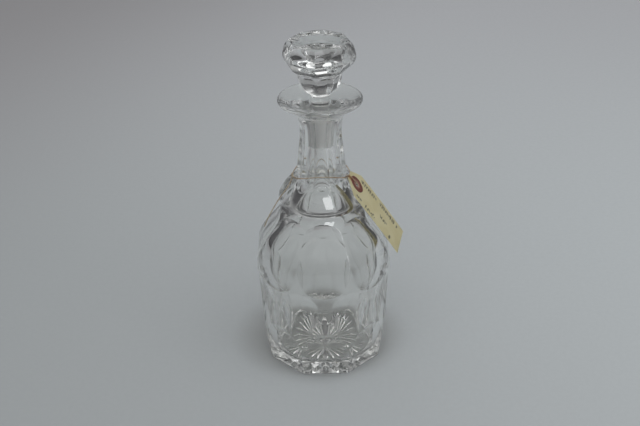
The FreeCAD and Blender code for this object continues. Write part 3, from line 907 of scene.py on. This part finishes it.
for piece, body, node, finish in ((bottle, "decanter", "decanter_body", "crystal_body"),
                                  (plug, "stopper", "stopper", "crystal_stopper"),
                                  (string, "string", "tag_string", "twine"),
                                  (hitch, "tag", "tag_hitch", "twine"),
                                  (card, "tag", "tag_card", "manila_card"),
                                  (patches[0], "tag", "tag_patch_front", "patch_paper"),
                                  (patches[1], "tag", "tag_patch_back", "patch_paper")):
    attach(piece, body)
    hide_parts(node)

# ---------------------------------------------------------------- studio
FLOOR_HALF, FLOOR_DROP = 12.0, 0.0004
LIGHT_COLOUR = (0.98, 0.995, 1.0)
ROOM_LOW, ROOM_MIDDLE, ROOM_HIGH = (0.04, 0.04, 0.042, 1.0), (0.12, 0.12, 0.125, 1.0), (0.98, 1.0, 1.0, 1.0)

floor_mesh = bpy.data.meshes.new("floor")
corners = [(x * FLOOR_HALF, y * FLOOR_HALF, -FLOOR_DROP) for x, y in ((-1, -1), (1, -1), (1, 1), (-1, 1))]
floor_mesh.from_pydata(corners, [], [(0, 1, 2, 3)])
floor = new_piece("floor", floor_mesh)
floor.data.materials.append(floor_material())


def area_light(name, azimuth, elevation, size, power, distance=2.6, target=(0.0, 0.0, 0.12)):
    """A soft light facing the decanter; azimuth 0 is in front, and 90 on the +X side."""
    data = bpy.data.lights.new(name, "AREA")
    data.shape = "RECTANGLE"
    data.size, data.size_y = size
    data.energy = power
    data.color = LIGHT_COLOUR
    lamp = bpy.data.objects.new(name, data)
    bpy.context.scene.collection.objects.link(lamp)
    a, e = math.radians(azimuth), math.radians(elevation)
    back = Vector((math.sin(a) * math.cos(e), -math.cos(a) * math.cos(e), math.sin(e)))
    lamp.location = Vector(target) + back * distance
    lamp.rotation_euler = back.to_track_quat("Z", "Y").to_euler()
    lamp.visible_camera = False
    return lamp


# the panel lights the scene and has no reflection, and the window is seen only in reflections
area_light("sky_panel", 20.0, 60.0, (4.0, 3.0), 27.0).visible_glossy = False
window = area_light("window", 19.0, 41.0, (0.92, 2.1), 42.0)
window.visible_diffuse = window.visible_transmission = False

# the room brightens from the floor's edge up to the ceiling
world = bpy.data.worlds.new("room")
bpy.context.scene.world = world
world.use_nodes = True
room = world.node_tree
direction = room.nodes.new("ShaderNodeTexCoord")
split = room.nodes.new("ShaderNodeSeparateXYZ")
ramp = room.nodes.new("ShaderNodeValToRGB")
lift = room.nodes.new("ShaderNodeMapRange")
room.links.new(direction.outputs["Generated"], split.inputs[0])
room.links.new(split.outputs[2], lift.inputs["Value"])
lift.inputs["From Min"].default_value = -0.1
lift.inputs["From Max"].default_value = 1.0
room.links.new(lift.outputs[0], ramp.inputs[0])
stops = ramp.color_ramp.elements
stops[0].position, stops[0].color = 0.0, ROOM_LOW
stops[1].position, stops[1].color = 1.0, ROOM_HIGH
stops.new(0.4).color = ROOM_MIDDLE
room.links.new(ramp.outputs[0], room.nodes["Background"].inputs["Color"])
room.nodes["Background"].inputs["Strength"].default_value = 0.7

# ---------------------------------------------------------------- camera
CAMERA_PLACE, CAMERA_DIP, CAMERA_ROLL = (-0.00192, -0.9006, 0.6133), 28.42, 1.24

lens = bpy.data.cameras.new("camera")
lens.lens, lens.sensor_width = 72.0, 36.0
camera = bpy.data.objects.new("camera", lens)
bpy.context.scene.collection.objects.link(camera)
bpy.context.scene.camera = camera
dip, roll = math.radians(CAMERA_DIP), math.radians(CAMERA_ROLL)
look = Vector((0.0, math.cos(dip), -math.sin(dip)))
level_right, level_down = Vector((1.0, 0.0, 0.0)), Vector((0.0, -math.sin(dip), -math.cos(dip)))
right = level_right * math.cos(roll) + level_down * math.sin(roll)
up = level_right * math.sin(roll) - level_down * math.cos(roll)
camera.location = CAMERA_PLACE
camera.rotation_euler = Matrix((right, up, -look)).transposed().to_euler()

scene = bpy.context.scene
scene.view_settings.view_transform = "Standard"
scene.cycles.max_bounces = 32
scene.cycles.transmission_bounces = 32
scene.cycles.glossy_bounces = 16
scene.cycles.caustics_reflective = False
scene.cycles.caustics_refractive = True
scene.cycles.blur_glossy = 0.3
scene.cycles.sample_clamp_indirect = 6.0
